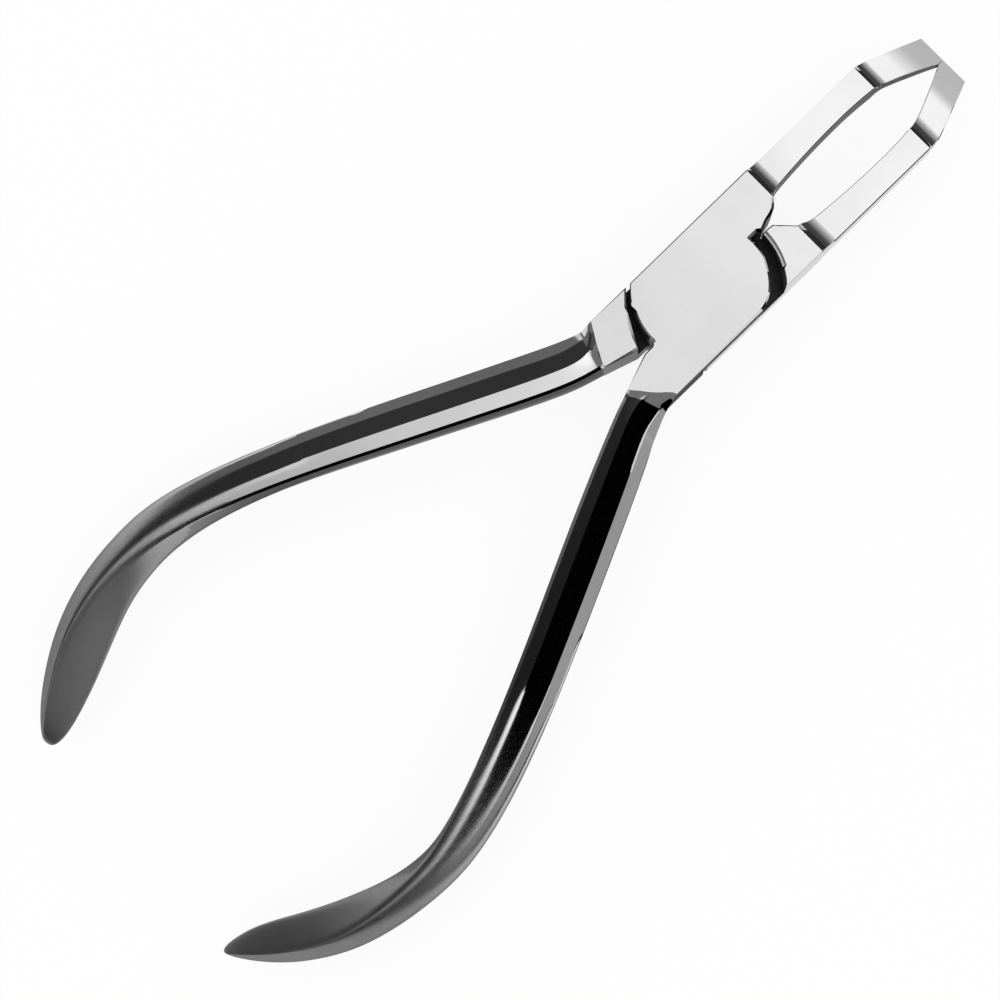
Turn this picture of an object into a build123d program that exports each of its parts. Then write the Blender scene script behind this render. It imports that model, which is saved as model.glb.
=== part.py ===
from build123d import *
import os

os.makedirs("parts", exist_ok=True)

# Orthodontic bracket removing pliers, in millimetres.
# X runs from the pivot to the beak tips, Y across the joint, Z up out of the front face.
# The origin is on the pivot axis, on the rear face that the joint rests on.
# Each lever is one forging: a beak, half of the lap joint and a curved handle.
# The rear lever is laid out like the front one and turned over about the X axis.

# Joint
joint_thickness = 9.0
joint_half_width = 6.65
lap_clearance = 0.03
shoulder_side_radius = 8.75
shoulder_gap = 0.44
beak_side_radius = 8.13
beak_gap = 1.55
plate_corner_radius = 4.5
relief_radius = 8.9
relief_depth = 1.0
relief_center_share = (-0.275, 0.247)

# Rivet
rivet_radius = 2.5
rivet_head_radius = 3.2
rivet_head_depth = 1.0
rivet_running_clearance = 0.02

# Beaks
beak_reach = 40.1
beak_step_reach = 13.1
beak_step_run = 2.2
shank_thickness = 5.4
tip_length = 8.6
tip_step_run = 1.8
tip_root_thickness = 2.6
tip_taper_length = 3.6
tip_end_thickness = 1.6
tip_corner_length = 7.5
tip_corner_radius = 6.0
tip_width = 3.7
tip_flat_length = 0.75
closed_gap = 0.06
root_gap = 0.12

# Handles
root_reach = 12.0
front_handle_reach = 95.85
rear_handle_reach = 94.15
handle_spread = 29.65
grip_thickness = 7.8
outer_bevel = 1.5
shoulder_drop = 1.4
shoulder_run = 1.6

# How far a cutting tool runs past what it cuts
overrun = 5.0

half_thickness = joint_thickness / 2
half_clearance = lap_clearance / 2
mid_plane = Plane.XY.offset(half_thickness)

# Inner edge of the loop between the beaks, from the tip back to the step: the share of
# the way from the step to the tip, and the share of the joint's half width.
loop_shares = [
    (0.923, 0.105),
    (0.848, 0.244),
    (0.774, 0.370),
    (0.700, 0.462),
    (0.552, 0.511),
    (0.403, 0.512),
    (0.256, 0.489),
    (0.125, 0.451),
    (0.070, 0.421),
    (0.033, 0.361),
]

# Inner edge of the beak where it comes out of the joint, on to the wall of the lap:
# shares of the way from the pivot to the step, and of the joint's half width.
front_root_shares = [(1.007, 0.238), (0.970, 0.170), (0.915, 0.125), (0.839, 0.090)]
rear_root_shares = [(1.001, 0.341), (0.915, 0.161), (0.863, 0.055), (0.848, 0.026)]

# Where the wall behind the other lever's plate bends, as shares of the wall's radius
shoulder_bend_share = (-0.871, -0.536)

# Inner wall of the heel, from the joint to the handle, as shares of the joint's half width
front_heel_shares = [(-1.549, -0.090), (-2.300, -0.364)]
rear_heel_shares = [(-1.594, -0.035), (-2.300, -0.263)]

# Outer corner of the heel, the lines where its flat faces end, and the notch beside the
# other beak, as shares of the joint's half width
heel_corner_shares = [(-2.300, -0.760), (-1.880, -1.0)]
plate_end_shares = [(-2.165, -0.417), (-1.647, -0.965)]
shoulder_end_shares = [(-2.211, -0.290), (-1.865, -0.967)]
notch_shares = [(1.368, 0.080), (1.466, 0.009)]

# Handle sections, one row each: share of the way from the root to the end, inner and
# outer edge as shares of the spread, share of the width where the inner wall ends,
# height of the crown as a share of the grip's, and height of the outer wall as a share
# of the crown's.
front_handle_shares = [
    (0.000, 0.041, 0.224, 0.01, 1.10, 0.95),
    (0.027, 0.064, 0.246, 0.01, 1.10, 0.75),
    (0.054, 0.093, 0.288, 0.01, 1.09, 0.58),
    (0.095, 0.136, 0.349, 0.02, 1.06, 0.51),
    (0.215, 0.285, 0.511, 0.02, 0.98, 0.47),
    (0.334, 0.446, 0.666, 0.02, 0.92, 0.44),
    (0.453, 0.602, 0.818, 0.02, 0.89, 0.42),
    (0.572, 0.742, 0.942, 0.03, 0.91, 0.38),
    (0.644, 0.809, 0.988, 0.04, 0.95, 0.34),
    (0.692, 0.835, 1.000, 0.10, 0.98, 0.30),
    (0.751, 0.812, 0.990, 0.25, 1.00, 0.27),
    (0.811, 0.749, 0.962, 0.43, 0.98, 0.25),
    (0.871, 0.671, 0.908, 0.56, 0.89, 0.25),
    (0.930, 0.575, 0.803, 0.59, 0.70, 0.25),
    (0.966, 0.545, 0.705, 0.58, 0.49, 0.25),
    (0.990, 0.538, 0.617, 0.54, 0.27, 0.30),
    (1.000, 0.548, 0.565, 0.50, 0.10, 0.60),
]
rear_handle_shares = [
    (0.000, 0.035, 0.224, 0.01, 1.10, 0.95),
    (0.028, 0.050, 0.230, 0.01, 1.10, 0.75),
    (0.055, 0.068, 0.260, 0.01, 1.09, 0.58),
    (0.097, 0.100, 0.315, 0.02, 1.06, 0.51),
    (0.219, 0.265, 0.477, 0.02, 0.98, 0.47),
    (0.341, 0.431, 0.642, 0.02, 0.92, 0.44),
    (0.463, 0.596, 0.794, 0.03, 0.89, 0.42),
    (0.584, 0.719, 0.922, 0.11, 0.91, 0.38),
    (0.657, 0.755, 0.965, 0.20, 0.95, 0.34),
    (0.706, 0.756, 0.969, 0.31, 0.98, 0.30),
    (0.767, 0.728, 0.957, 0.43, 1.00, 0.27),
    (0.828, 0.657, 0.918, 0.54, 0.98, 0.25),
    (0.889, 0.583, 0.845, 0.62, 0.89, 0.25),
    (0.949, 0.527, 0.732, 0.62, 0.70, 0.25),
    (0.980, 0.514, 0.651, 0.60, 0.49, 0.25),
    (0.995, 0.523, 0.600, 0.54, 0.27, 0.30),
    (1.000, 0.546, 0.573, 0.50, 0.10, 0.60),
]
parting_height_share = 0.12
wall_height_share = 0.83
ridge_height_share = 0.93
outer_ridge_height_share = 0.79
edge_strip_share = 0.07
crown_share = 0.45
outer_bevel_share = 0.26


def scaled(shares, length, width, start=0):
    return [(start + x * length, y * width) for x, y in shares]


def on_joint(shares):
    return scaled(shares, joint_half_width, joint_half_width)


# The point at height y of a circle about the pivot, towards the tips or towards the handles
def on_circle(radius, y, side=1):
    return (side * (radius**2 - y**2) ** 0.5, y)


# The section of a handle is the same on both sides of the middle plane. From the inner
# edge it runs up the inner wall, over a narrow strip to the ridge, across two flat facets
# that meet at the crown, and down the outer bevel to the outer edge.
def handle_section(inner, outer, wall_at, crown_height, outer_wall_share):
    width = outer - inner
    wall_top = inner + wall_at * width
    ridge = wall_top + edge_strip_share * width
    outer_ridge = outer - min(outer_bevel, outer_bevel_share * width)
    crown = ridge + crown_share * (outer_ridge - ridge)
    outer_ridge_share = max(outer_ridge_height_share, outer_wall_share)
    upper = [
        (-inner, parting_height_share * crown_height),
        (-wall_top, wall_height_share * crown_height),
        (-ridge, ridge_height_share * crown_height),
        (-crown, crown_height),
        (-outer_ridge, outer_ridge_share * crown_height),
        (-outer, outer_wall_share * crown_height),
    ]
    lower = [(y, -z) for y, z in reversed(upper)]
    return [(y, half_thickness + z) for y, z in upper + lower]


# The outline of a rivet turned about the pivot axis, or of the bore that it runs in
def rivet_outline(clearance):
    shank = rivet_radius + clearance
    head = rivet_head_radius + clearance
    return [
        (0, 0),
        (head, 0),
        (shank, rivet_head_depth),
        (shank, joint_thickness - rivet_head_depth),
        (head, joint_thickness),
        (0, joint_thickness),
    ]


# The slope that leads down from the end of a flat joint face to the handle.
# It is cut along the line from start to end, on the front face or on the rear one.
def cut_face_end(start, end, side):
    along = Vector(*end) - Vector(*start)
    outward = Vector(along.Y, -along.X).normalized() * side
    if outward.X > 0:
        outward = outward * -1
    middle = (Vector(*start) + Vector(*end)) * 0.5
    origin = (middle.X, middle.Y, half_thickness + side * half_thickness)
    across = outward.cross(Vector(0, 0, 1))
    with BuildSketch(Plane(origin=origin, x_dir=outward, z_dir=across)) as slope:
        with BuildLine():
            Polyline(
                (0, 0),
                (shoulder_run, -side * shoulder_drop),
                (shoulder_run + joint_half_width, -side * shoulder_drop),
                (shoulder_run + joint_half_width, side * overrun),
                (0, side * overrun),
                close=True,
            )
        make_face()
    extrude(slope.sketch, amount=joint_half_width, both=True, mode=Mode.SUBTRACT)


# One lever, laid out with its plate in front, its beak at +Y and its handle at -Y
def forge_lever(root_shares, heel_shares, handle_reach, handle_shares):
    shank_z = half_thickness + shank_thickness / 2
    tip_root_z = half_thickness + tip_root_thickness / 2
    tip_end_z = half_thickness + tip_end_thickness / 2
    top_z = joint_thickness + overrun
    tip_step_x = beak_reach - tip_length
    tip_corner_x = beak_reach - tip_corner_length
    beak_length = beak_reach - beak_step_reach
    loop_points = scaled(loop_shares, beak_length, joint_half_width, start=beak_step_reach)
    root_points = scaled(root_shares, beak_step_reach, joint_half_width)

    with BuildPart() as lever:
        # Beak, with the wall that the other lever's plate swings past
        beak_wall_radius = beak_side_radius + beak_gap
        tip_edge = (beak_reach - tip_flat_length, closed_gap / 2)
        wall_top = on_circle(beak_wall_radius, joint_half_width)
        wall_end = on_circle(beak_wall_radius, root_gap / 2)
        with BuildSketch(mid_plane):
            with BuildLine():
                Polyline(
                    wall_top,
                    (tip_corner_x, joint_half_width),
                    (beak_reach, tip_width),
                    (beak_reach, closed_gap / 2),
                    tip_edge,
                )
                Spline(tip_edge, *loop_points)
                Polyline(loop_points[-1], *root_points, wall_end)
                RadiusArc(wall_end, wall_top, -beak_wall_radius)
            outline = make_face()
            corner = outline.vertices().filter_by_position(
                Axis.X, tip_corner_x - half_clearance, tip_corner_x + half_clearance
            )
            fillet(corner, radius=tip_corner_radius)
        extrude(amount=half_thickness, both=True)

        # Steps that thin the beak towards its tip, the same on both faces
        with BuildSketch(Plane.XZ):
            with BuildLine():
                step_foot = (beak_step_reach + beak_step_run, shank_z)
                tip_foot = (tip_step_x + tip_step_run, tip_root_z)
                TangentArc(step_foot, (beak_step_reach, joint_thickness), tangent=(-1, 0))
                Line(step_foot, (tip_step_x, shank_z))
                TangentArc(tip_foot, (tip_step_x, shank_z), tangent=(-1, 0))
                Polyline(
                    tip_foot,
                    (beak_reach - tip_taper_length, tip_root_z),
                    (beak_reach, tip_end_z),
                    (beak_reach + overrun, tip_end_z),
                    (beak_reach + overrun, top_z),
                    (beak_step_reach, top_z),
                    (beak_step_reach, joint_thickness),
                )
            make_face()
            mirror(about=Plane(origin=(0, half_thickness), z_dir=(0, 1, 0)))
        extrude(amount=joint_half_width + overrun, both=True, mode=Mode.SUBTRACT)

        # Shoulder behind the joint, as thick as both plates together
        wall_radius = shoulder_side_radius + shoulder_gap
        heel = on_joint(heel_shares) + on_joint(heel_corner_shares)
        with BuildSketch(mid_plane):
            with BuildLine():
                Polyline(
                    *heel,
                    on_circle(wall_radius, -joint_half_width, side=-1),
                    *scaled([shoulder_bend_share], wall_radius, wall_radius),
                    heel[0],
                )
            make_face()
        extrude(amount=half_thickness, both=True)

        # Relief that is ground off the shoulder's edge on the rear face
        relief_x, relief_y = (share * joint_half_width for share in relief_center_share)
        with Locations((relief_x, relief_y, relief_depth / 2)):
            Cone(
                bottom_radius=relief_radius,
                top_radius=relief_radius - relief_depth,
                height=relief_depth,
                mode=Mode.SUBTRACT,
            )

        # Front plate of the lap joint
        notch = on_joint(notch_shares)
        plate_top = on_circle(shoulder_side_radius, joint_half_width, side=-1)
        plate_heel = on_circle(shoulder_side_radius, heel[0][1], side=-1)
        plate_toe = on_circle(beak_side_radius, -joint_half_width)
        plate_notch = on_circle(beak_side_radius, notch[0][1])
        with BuildSketch(mid_plane.offset(half_clearance)):
            with BuildLine():
                RadiusArc(plate_top, plate_heel, -shoulder_side_radius)
                Polyline(plate_heel, *heel, plate_toe)
                RadiusArc(plate_toe, plate_notch, -beak_side_radius)
                Polyline(
                    plate_notch,
                    *notch,
                    root_points[0],
                    (beak_step_reach, joint_half_width),
                    plate_top,
                )
            outline = make_face()
            toe = outline.vertices().group_by(Axis.Y)[0].sort_by(Axis.X)[-1]
            fillet(toe, radius=plate_corner_radius)
        extrude(amount=half_thickness - half_clearance)

        cut_face_end(*on_joint(plate_end_shares), side=1)
        cut_face_end(*on_joint(shoulder_end_shares), side=-1)

        # Handle, through its sections from the shoulder to the end of the grip
        for along, inner, outer, wall_at, crown, outer_wall in handle_shares:
            reach = root_reach + along * (handle_reach - root_reach)
            with BuildSketch(Plane.YZ.offset(-reach)):
                with BuildLine():
                    Polyline(
                        *handle_section(
                            inner * handle_spread,
                            outer * handle_spread,
                            wall_at,
                            crown * grip_thickness / 2,
                            outer_wall,
                        ),
                        close=True,
                    )
                make_face()
        loft()
    return lever.part


def drill_rivet_bore(clearance):
    with BuildSketch(Plane.XZ) as profile:
        with BuildLine():
            Polyline(*rivet_outline(clearance), close=True)
        make_face()
    revolve(profile.sketch, axis=Axis.Z, mode=Mode.SUBTRACT)


# Front lever
front_forging = forge_lever(
    front_root_shares, front_heel_shares, front_handle_reach, front_handle_shares
)
with BuildPart() as front_lever:
    add(front_forging)
    drill_rivet_bore(rivet_running_clearance)
front_lever.part.label = "front_lever"
export_step(front_lever.part, "parts/front_lever.step")

# Rear lever, turned over about the X axis
rear_forging = forge_lever(
    rear_root_shares, rear_heel_shares, rear_handle_reach, rear_handle_shares
)
with BuildPart() as rear_lever:
    with Locations((0, 0, joint_thickness)):
        add(rear_forging, rotation=(180, 0, 0))
    drill_rivet_bore(0)
rear_lever.part.label = "rear_lever"
export_step(rear_lever.part, "parts/rear_lever.step")

# Rivet, ground flush with both faces and held fast in the rear lever
with BuildPart() as pivot_rivet:
    with BuildSketch(Plane.XZ):
        with BuildLine():
            Polyline(*rivet_outline(0), close=True)
        make_face()
    revolve(axis=Axis.Z)
pivot_rivet.part.label = "pivot_rivet"
export_step(pivot_rivet.part, "parts/pivot_rivet.step")
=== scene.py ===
# %% [markdown]
# # Straight orthodontic pliers
# The pliers are two forged steel levers on one flush rivet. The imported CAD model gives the
# frame: where each lever is, how large it is and how it turns. Everything below is in metres
# and in that frame, so a piece is placed by the CAD node's own box and never fitted by eye.

# %% Load the frame
import math

import bpy
from mathutils import Euler, Matrix, Vector


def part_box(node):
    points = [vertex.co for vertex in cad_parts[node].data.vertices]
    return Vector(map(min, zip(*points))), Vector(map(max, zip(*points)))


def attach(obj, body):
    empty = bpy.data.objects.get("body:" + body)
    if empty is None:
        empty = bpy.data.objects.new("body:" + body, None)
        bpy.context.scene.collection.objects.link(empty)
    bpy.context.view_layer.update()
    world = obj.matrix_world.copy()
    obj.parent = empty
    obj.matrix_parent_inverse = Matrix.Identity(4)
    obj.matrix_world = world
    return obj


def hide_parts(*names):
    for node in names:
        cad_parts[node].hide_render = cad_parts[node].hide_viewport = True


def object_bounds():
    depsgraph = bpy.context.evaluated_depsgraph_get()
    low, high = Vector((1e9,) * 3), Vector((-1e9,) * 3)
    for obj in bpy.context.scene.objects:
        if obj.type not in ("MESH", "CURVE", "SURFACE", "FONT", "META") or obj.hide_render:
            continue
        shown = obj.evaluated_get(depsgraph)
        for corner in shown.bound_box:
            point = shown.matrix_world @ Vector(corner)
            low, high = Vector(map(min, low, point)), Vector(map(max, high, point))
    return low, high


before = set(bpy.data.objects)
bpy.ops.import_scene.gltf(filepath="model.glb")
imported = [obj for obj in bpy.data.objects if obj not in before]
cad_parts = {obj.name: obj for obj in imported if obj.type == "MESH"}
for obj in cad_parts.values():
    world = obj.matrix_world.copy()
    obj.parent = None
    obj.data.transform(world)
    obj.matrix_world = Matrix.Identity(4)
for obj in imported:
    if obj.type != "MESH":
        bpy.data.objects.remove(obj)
cad_low, cad_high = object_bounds()
MM = 0.001
print("CAD box in mm:", [round(v / MM, 2) for v in (*cad_low, *cad_high)])

# %% [markdown]
# ## Sizes that come from the frame
# The joint block is the thickest part, so the box gives its thickness. The front lever's beak
# lies along +Y up to the joint's side wall, and its handle bows out along -Y, so its box gives
# the joint's half width and the spread of the handle as well.

# %% Sizes of the joint
front_low, front_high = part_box("front_lever")
rear_low, rear_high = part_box("rear_lever")
THICKNESS = front_high.z - front_low.z
MIDDLE = (front_high.z + front_low.z) / 2
HALF_WIDTH = front_high.y
SPREAD = -front_low.y
# Points closer than this are one point
TOUCH = 0.001 * MM
print("joint", round(THICKNESS / MM, 2), "thick,", round(HALF_WIDTH / MM, 2), "to each side")

# %% [markdown]
# ## Polished steel
# A forging like this is ground, then polished on felt. The flat faces come out nearly as
# mirrors, the handles and flanks stay satin, and everywhere fine marks follow the polishing.
# The marks are a node group, used by each steel with the same settings and scaled by its own
# roughness and brightness, so that they are not built twice.


# %% A node group for polishing marks
def new_group(name, inputs, outputs):
    group = bpy.data.node_groups.new(name, "ShaderNodeTree")
    for label, kind, value in inputs:
        socket = group.interface.new_socket(label, in_out="INPUT", socket_type=kind)
        if value is not None:
            socket.default_value = value
    for label, kind in outputs:
        group.interface.new_socket(label, in_out="OUTPUT", socket_type=kind)
    return group, group.nodes.new("NodeGroupInput"), group.nodes.new("NodeGroupOutput")


def node(tree, kind, values=(), **settings):
    made = tree.nodes.new(kind)
    for name, value in settings.items():
        setattr(made, name, value)
    for socket, value in dict(values).items():
        made.inputs[socket].default_value = value
    return made


def polishing_marks():
    group, given, result = new_group(
        "polishing_marks",
        [("Along", "NodeSocketFloat", 1.0), ("Across", "NodeSocketFloat", 1.0)],
        [("Streaks", "NodeSocketFloat"), ("Clouds", "NodeSocketFloat")],
    )
    link = group.links.new
    where = node(group, "ShaderNodeTexCoord")
    stretch = node(group, "ShaderNodeCombineXYZ", {"Z": 6000.0})
    scaled = node(group, "ShaderNodeVectorMath", operation="MULTIPLY")
    streaks = node(group, "ShaderNodeTexNoise", {"Scale": 1.0, "Detail": 4.0, "Roughness": 0.6})
    clouds = node(group, "ShaderNodeTexNoise", {"Scale": 90.0, "Detail": 3.0, "Roughness": 0.5})
    link(given.outputs["Along"], stretch.inputs["X"])
    link(given.outputs["Across"], stretch.inputs["Y"])
    link(where.outputs["Object"], scaled.inputs[0])
    link(stretch.outputs[0], scaled.inputs[1])
    link(scaled.outputs[0], streaks.inputs["Vector"])
    link(where.outputs["Object"], clouds.inputs["Vector"])
    link(streaks.outputs["Fac"], result.inputs["Streaks"])
    link(clouds.outputs["Fac"], result.inputs["Clouds"])
    return group


MARKS = polishing_marks()

print("node group", MARKS.name, "with", len(MARKS.nodes), "nodes")

# %% [markdown]
# ## The levers' finishes
# Both levers are of one steel, with a roughness of their own on each kind of face. The faces of the
# joint and the beaks are nearly mirrors and the flanks stay satin. The darker base colours and rim
# tints are painted shade. The flanks, the joint's walls that look away from the tips, and the walls
# inside the loop and between the handles are darkened to stand in for the shadowed floor that they
# mirror. The lap and the heel's wall are nearly black as painted shadow of the deep gap. One
# function makes every finish. It blends the brightness and the roughness along the object's X, read
# from Object coordinates. The roughness rises because the polish of the real pliers dulls towards
# the grips, and the steel is also darker towards the grips.

# %% A blend along the lever
# Where the grips' finish ends and the joint's begins, in metres along X
GRIP_X = -0.082
BRIGHT_X = -0.035
SMOOTH_X = -0.045
MARKS_ALONG = 900.0
MARKS_ACROSS = 5000.0


def ramp(tree, source, low, high, from_value, to_value):
    made = node(
        tree,
        "ShaderNodeMapRange",
        {1: low, 2: high, 3: from_value, 4: to_value},
        interpolation_type="SMOOTHSTEP",
    )
    tree.links.new(source, made.inputs["Value"])
    return made.outputs["Result"]


# %% Steel material
def steel_material(name, face_value, grip_value, face_roughness, grip_roughness, edge_tint):
    """Brightness and roughness at the joint and at the grips, and the tint at the rim."""
    material = bpy.data.materials.new(name)
    material.use_nodes = True
    tree = material.node_tree
    link = tree.links.new
    shader = tree.nodes["Principled BSDF"]
    shader.inputs["Metallic"].default_value = 1.0
    # A rim tint below one darkens the steel seen edge-on: painted shade for the shadowed floor that
    # the walls mirror.
    shader.inputs["Specular Tint"].default_value = (edge_tint, edge_tint, edge_tint, 1.0)
    where = node(tree, "ShaderNodeTexCoord")
    split = node(tree, "ShaderNodeSeparateXYZ")
    marks = node(tree, "ShaderNodeGroup")
    marks.node_tree = MARKS
    marks.inputs["Along"].default_value = MARKS_ALONG
    marks.inputs["Across"].default_value = MARKS_ACROSS
    link(where.outputs["Object"], split.inputs[0])
    along = split.outputs["X"]

    value = ramp(tree, along, GRIP_X, BRIGHT_X, grip_value, face_value)
    roughness = ramp(tree, along, GRIP_X, SMOOTH_X, grip_roughness, face_roughness)
    # faint clouds in the brightness, and a trace more in blue than in red and green
    clouds = node(tree, "ShaderNodeMapRange", {1: 0.3, 2: 0.7, 3: 0.94, 4: 1.04})
    link(marks.outputs["Clouds"], clouds.inputs["Value"])
    shade = node(tree, "ShaderNodeMath", operation="MULTIPLY")
    link(value, shade.inputs[0])
    link(clouds.outputs["Result"], shade.inputs[1])
    colour = node(tree, "ShaderNodeCombineColor")
    cool = node(tree, "ShaderNodeMath", {1: 1.01}, operation="MULTIPLY")
    link(shade.outputs[0], colour.inputs["Red"])
    link(shade.outputs[0], colour.inputs["Green"])
    link(shade.outputs[0], cool.inputs[0])
    link(cool.outputs[0], colour.inputs["Blue"])
    link(colour.outputs[0], shader.inputs["Base Color"])

    # streaks in the roughness, and the same streaks as a very shallow relief
    streaks = node(tree, "ShaderNodeMapRange", {1: 0.3, 2: 0.7, 3: 0.8, 4: 1.25})
    link(marks.outputs["Streaks"], streaks.inputs["Value"])
    rough = node(tree, "ShaderNodeMath", operation="MULTIPLY")
    link(roughness, rough.inputs[0])
    link(streaks.outputs["Result"], rough.inputs[1])
    link(rough.outputs[0], shader.inputs["Roughness"])

    bump = node(tree, "ShaderNodeBump", {"Strength": 0.04, "Distance": 0.00002})
    link(marks.outputs["Streaks"], bump.inputs["Height"])
    link(bump.outputs["Normal"], shader.inputs["Normal"])
    return material


# %% Finishes
# The rim tint of 0.4 on the lever and the rivet is painted shade on walls seen edge-on.
LEVER_STEEL = steel_material("lever_steel", 0.70, 0.30, 0.07, 0.42, 0.4)
RIVET_STEEL = steel_material("rivet_steel", 0.70, 0.30, 0.07, 0.42, 0.4)
OUTER_STEEL = steel_material("outer_steel", 0.70, 0.30, 0.07, 0.42, 1.0)
# Painted shade: the flanks' dark base and rim tint of nought stand in for the shadowed floor they
# mirror.
FLANK_SHADE_STEEL = steel_material("flank_painted_shade", 0.30, 0.30, 0.45, 0.45, 0.0)
# Painted shade: the walls inside the loop and between the handles are darker than the lever's
# steel.
LOOP_SHADE_STEEL = steel_material("loop_painted_shade", 0.50, 0.30, 0.20, 0.42, 0.2)
INNER_SHADE_STEEL = steel_material("inner_painted_shade", 0.40, 0.30, 0.20, 0.42, 0.2)
# Painted shade: the joint's walls that look away from the tips are darker than the lever's steel.
WALL_SHADE_STEEL = steel_material("wall_painted_shade", 0.55, 0.30, 0.45, 0.45, 0.6)
# Painted shadow: nearly black, for the deep gap of the lap and the heel's wall.
LAP_SHADOW_STEEL = steel_material("lap_painted_shadow", 0.05, 0.05, 0.50, 0.50, 0.1)
print("finishes:", [material.name for material in bpy.data.materials])

# %% [markdown]
# ## Tools for editing
# The pieces are shaped with the operators that a modeller would pick by hand. An operator acts
# on all that is selected, and loading the frame leaves the CAD nodes selected, so each of
# these small helpers starts from a clean selection of one object.


# %% Tools for editing
def only(obj):
    bpy.ops.object.select_all(action="DESELECT")
    obj.select_set(True)
    bpy.context.view_layer.objects.active = obj


def edit(obj, mode="VERT"):
    only(obj)
    bpy.ops.object.mode_set(mode="EDIT")
    bpy.ops.mesh.select_mode(type=mode)


def leave():
    bpy.ops.object.mode_set(mode="OBJECT")


def apply_all(obj):
    only(obj)
    for modifier in list(obj.modifiers):
        bpy.ops.object.modifier_apply(modifier=modifier.name)


# %% [markdown]
# ## The joint block and the beak
# Half of each lever's front end is the plate of the lap joint, and the beak and the heel have
# the full thickness. All of them are milled from one forging, so each is made here as a prism
# with its own outline, and the three are joined. The outline points are those of the CAD
# model, as shares of the joint's half width or of the way along the beak, but with finer arcs.
# Both levers are laid out with the plate in front and the beak at +Y. The rear lever is then
# turned over about the X axis.

# %% Sizes of the block and the beak
BEAK_REACH = front_high.x
STEP_X = 13.1 * MM
# Half the thickness of the beak's shank, of its tip, and of the tip's very end
SHANK_HALF = 2.7 * MM
TIP_HALF = 1.3 * MM
END_HALF = 0.8 * MM
TAPER_X = BEAK_REACH - 3.6 * MM
# The beak's outer side turns in here, on this radius, to the width of the tip
CORNER_X = BEAK_REACH - 7.5 * MM
CORNER_RADIUS = 5.8 * MM
TIP_WIDTH = 3.7 * MM
# The tips meet on a short flat, a hair away from the middle
FLAT_LENGTH = 0.75 * MM
FLAT_GAP = 0.03 * MM
# Where the two steps start, how long they run, and over what length the taper sets in
FRONT_STEPS = (13.5 * MM, 2.2 * MM, 31.5 * MM, 1.9 * MM, 2.4 * MM)
REAR_STEPS = (13.1 * MM, 2.7 * MM, 31.05 * MM, 2.2 * MM, 1.2 * MM)
# Half the gap between the two plates, and the radii of the plate, its toe and their walls
LAP_HALF = 0.015 * MM
PLATE_RADIUS = 8.75 * MM
TOE_RADIUS = 8.13 * MM
BEAK_WALL_RADIUS = 9.68 * MM
HEEL_WALL_RADIUS = 9.19 * MM
HEEL_CORNER_RADIUS = 0.5 * MM
HEEL_CORNER_Y = 1 * MM
PLATE_ARC_Y = 0.2 * MM
WALL_START_Y = 0.06 * MM
# The handle is joined to the block here
CUT_X = -10.7 * MM
print("beak from", round(STEP_X / MM, 2), "to", round(BEAK_REACH / MM, 2), "mm")

# %% Outline points
# Along the beak as shares of its length or of the step's place, elsewhere of the half width.
# The heel's bend is given as shares of its wall's radius.
LOOP_SHARES = [
    (0.923, 0.105), (0.848, 0.244), (0.774, 0.370), (0.700, 0.462), (0.552, 0.511),
    (0.403, 0.512), (0.256, 0.489), (0.125, 0.451), (0.070, 0.421), (0.033, 0.361),
]
FRONT_ROOT = [(1.007, 0.238), (0.970, 0.170), (0.915, 0.125), (0.839, 0.090)]
REAR_ROOT = [(1.001, 0.341), (0.915, 0.161), (0.863, 0.055), (0.848, 0.026)]
FRONT_HEEL = [(-1.549, 0.090), (-2.300, 0.364)]
REAR_HEEL = [(-1.594, 0.035), (-2.300, 0.263)]
HEEL_BEND = (-0.871, -0.536)
FRONT_NOTCH = (1.368, 0.080)
REAR_NOTCH = (1.368, -0.085)
TOE_SHARES = [
    (1.18, -0.34), (1.098, -0.487), (0.962, -0.692), (0.790, -0.862), (0.60, -0.965), (0.47, -1.0),
]
print(len(LOOP_SHARES), "points round the loop,", len(TOE_SHARES), "round the toe")

# %% [markdown]
# ## Curves for the outlines
# The real outline was ground to arcs and eased corners. Each could be drawn point by point, but
# a few functions that know a circle, a rounded corner and a smooth curve keep the arcs true.
# They give points only, which become the corners of a face later on.


# %% Outline tools
def wall_at_x(heel, x):
    """How far the heel's inner wall lies from the axis at x."""
    (x0, s0), (x1, s1) = heel
    share = (x / HALF_WIDTH - x0) / (x1 - x0)
    return (s0 + share * (s1 - s0)) * HALF_WIDTH


def on_circle(radius, y, side=1):
    """The point of a circle round the pivot at this y, towards the beak or the handle."""
    return (side * math.sqrt(radius**2 - y**2), y)


def arc(radius, start, end, step=math.radians(2.5)):
    """Points on a circle round the pivot, the shorter way from start to end."""
    first = math.atan2(start[1], start[0])
    last = math.atan2(end[1], end[0])
    sweep = (last - first + math.pi) % (2 * math.pi) - math.pi
    count = max(2, round(abs(sweep) / step))
    angles = [first + sweep * i / count for i in range(count + 1)]
    return [(radius * math.cos(a), radius * math.sin(a)) for a in angles]


def rounded(before, corner, after, radius, count=8):
    """Points on the arc that rounds a corner."""
    corner = Vector(corner)
    to_before = (Vector(before) - corner).normalized()
    to_after = (Vector(after) - corner).normalized()
    half = to_before.angle(to_after) / 2
    centre = corner + (to_before + to_after).normalized() * radius / math.sin(half)
    start = corner + to_before * radius / math.tan(half) - centre
    end = corner + to_after * radius / math.tan(half) - centre
    turn = start.angle_signed(end)
    points = []
    for i in range(count + 1):
        angle = -turn * i / count
        x = start.x * math.cos(angle) - start.y * math.sin(angle)
        y = start.x * math.sin(angle) + start.y * math.cos(angle)
        points.append((centre.x + x, centre.y + y))
    return points


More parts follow.
